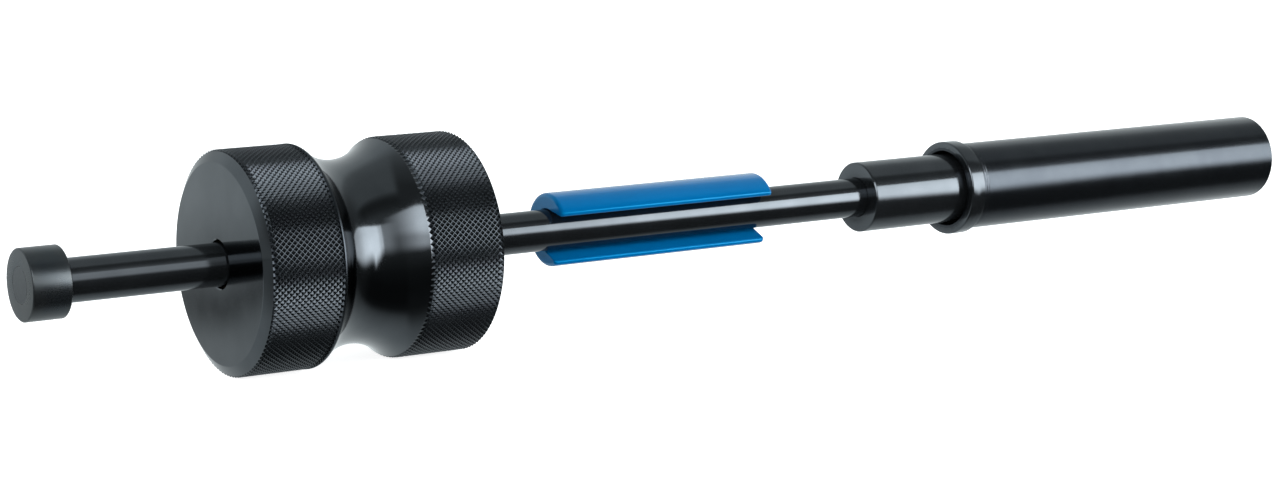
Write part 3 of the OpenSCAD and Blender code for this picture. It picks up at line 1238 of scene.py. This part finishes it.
# Share of the room's level by lean, and the leans between which one table gives way to the next.
STOP_END_SHADE = [(-0.98, 0.4), (-0.86, 1.0)]
STOP_SIDE_FADE = (-0.36, -0.18)
TOOL_SIDE_FADE = (0.7, 0.98)
SOFTBOXES = (
    Softbox(
        levels=[(-0.1, 0.0), (0.0, 0.35), (0.1, 0.9), (0.2, 1.4), (0.3, 1.7), (0.355, 1.8), (0.375, 5.2), (0.44, 5.6),
                (0.5, 8.2), (0.75, 8.4), (0.85, 7.3), (0.95, 4.0), (1.0, 3.0)],
        top=[(0.45, 38.0), (0.55, 39.0), (0.65, 40.5), (0.75, 43.0), (0.85, 47.0), (0.95, 57.0), (1.0, 62.0)],
        foot=[(0.3, 6.0), (0.38, 7.0), (0.45, 3.5), (0.5, 0.0), (0.58, -5.0), (0.61, -9.5), (0.64, -7.0),
              (0.66, -3.0), (0.72, -2.0), (0.8, -6.0), (0.85, -9.5), (0.95, -16.0), (1.0, -20.0)],
        top_soft=1.5,
        foot_soft=[(0.4, 8.0), (0.9, 14.0)],
        shade=[(-30, 0.9), (0, 0.95), (14, 1.0), (26, 0.95), (34, 0.86), (60, 0.8)],
    ),
    Softbox(
        levels=[(-0.92, 0.0), (-0.86, 5.4), (-0.75, 6.2), (-0.65, 5.6), (-0.55, 4.6), (-0.45, 3.7), (-0.35, 2.9),
                (-0.25, 2.1), (-0.15, 1.5), (0.0, 0.9), (0.15, 0.4), (0.3, 0.0)],
        top=[(-0.95, 61.0), (-0.75, 59.0), (-0.45, 52.0), (-0.15, 47.5), (0.1, 45.0)],
        foot=[(-1.0, 6.0), (1.0, 6.0)],
        top_soft=1.5,
        foot_soft=[(-1.0, 6.0), (1.0, 6.0)],
        shade=[(-5, 0.45), (20, 0.5), (28, 0.93), (36, 1.0), (60, 0.9)],
    ),
)


@dataclass
class Studio:
    """Camera, floor and the soft light of the surroundings."""

    camera_place: Triple = (-1.05507, -1.06270, 0.20914)
    right: Triple = (0.83962, -0.54318, 0.0)
    up: Triple = (0.09409, 0.14544, 0.98488)
    lens: float = 81.502
    sensor: float = 36.0
    clip: tuple[float, float] = (0.05, 100.0)
    floor_side: float = 40.0
    floor_gap: float = 0.2 * MM
    floor_white: float = 0.8
    floor_lift: float = 0.85
    room_tint: Triple = (0.92, 1.0, 1.02)
    softbox_tint: Triple = (0.93, 0.97, 1.0)

    def build(self, floor_z: float) -> None:
        """Sets up the camera, the floor and the world.

        Args:
            floor_z: height of the object's lowest point.
        """
        self._camera()
        self._floor(floor_z)
        self._world()
        bpy.context.scene.view_settings.view_transform = "Standard"

    def _camera(self) -> None:
        """Places the camera where the photograph was taken from."""
        data = bpy.data.cameras.new("camera")
        data.sensor_fit, data.sensor_width, data.lens = "HORIZONTAL", self.sensor, self.lens
        data.clip_start, data.clip_end = self.clip
        camera = bpy.data.objects.new("camera", data)
        bpy.context.scene.collection.objects.link(camera)
        right, up = Vector(self.right), Vector(self.up)
        turn_to = Matrix((right, up, right.cross(up))).transposed()
        camera.matrix_world = Matrix.Translation(self.camera_place) @ turn_to.to_4x4()
        bpy.context.scene.camera = camera

    def _floor(self, floor_z: float) -> None:
        """Lays a plain white floor that keeps a faint shadow.

        Args:
            floor_z: height of the object's lowest point.
        """
        deselect()
        bpy.ops.mesh.primitive_plane_add(size=self.floor_side, location=(0, 0, floor_z - self.floor_gap))
        floor = bpy.context.object
        floor.name = "floor"
        floor.visible_glossy = False
        floor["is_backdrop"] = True
        material = bpy.data.materials.new("floor_white")
        net = start_net(material)
        diffuse = net.node("BsdfDiffuse", {"Color": (self.floor_white,) * 3 + (1.0,)})
        seen = net.math("MULTIPLY", net.node("LightPath").outputs["Is Camera Ray"], self.floor_lift)
        lift = net.node("Emission", {"Color": (1, 1, 1, 1), "Strength": seen})
        both = net.node("AddShader", {0: diffuse.outputs[0], 1: lift.outputs[0]})
        net.node("OutputMaterial", {"Surface": both.outputs[0]})
        floor.data.materials.append(material)

    def _world(self) -> None:
        """Makes the surroundings: white to the camera, and to the object a pale studio with two softboxes."""
        world = bpy.data.worlds.new("studio")
        bpy.context.scene.world = world
        net = start_net(world)
        way = net.node("SeparateXYZ", {0: net.place("Generated")})
        lean, y, z = (way.outputs[key] for key in "XYZ")
        radians = net.math("ARCTAN2", z, net.math("MULTIPLY", y, -1.0))
        angle = net.math("MULTIPLY", radians, math.degrees(1.0))
        stop_side, middle, tool_side = (
            net.curve(angle, stops) for stops in (STOP_SIDE_ROOM, MIDDLE_ROOM, TOOL_SIDE_ROOM)
        )
        room = net.blend(net.ease(lean, *STOP_SIDE_FADE), stop_side, middle)
        room = net.blend(net.ease(lean, *TOOL_SIDE_FADE), room, tool_side)
        room = net.math("MULTIPLY", room, net.curve(lean, STOP_END_SHADE))
        boxes = [box.build(net, lean, angle) for box in SOFTBOXES]
        pale = net.node("Background", {"Color": (*self.room_tint, 1.0), "Strength": room})
        lamps = net.node("Background", {"Color": (*self.softbox_tint, 1.0), "Strength": net.math("ADD", *boxes)})
        light = net.node("AddShader", {0: pale.outputs[0], 1: lamps.outputs[0]})
        plain = net.node("Background", {"Color": (1, 1, 1, 1), "Strength": 1.0})
        seen = net.node("LightPath").outputs["Is Camera Ray"]
        mixed = net.node("MixShader", {0: seen, 1: light.outputs[0], 2: plain.outputs[0]})
        net.node("OutputWorld", {"Surface": mixed.outputs[0]})


def main() -> None:
    """Builds the puller round its CAD model, then the studio."""
    logging.basicConfig(level=logging.INFO, format="%(name)s: %(message)s")
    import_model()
    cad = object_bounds()
    finishes = Finishes()
    for assembly in (PullRod(finishes), SlideWeight(finishes), HandGuard(finishes), PullerSleeve(finishes)):
        assembly.build()
    Studio().build(cad[0].z)
    deselect()


if __name__ == "__main__":
    main()
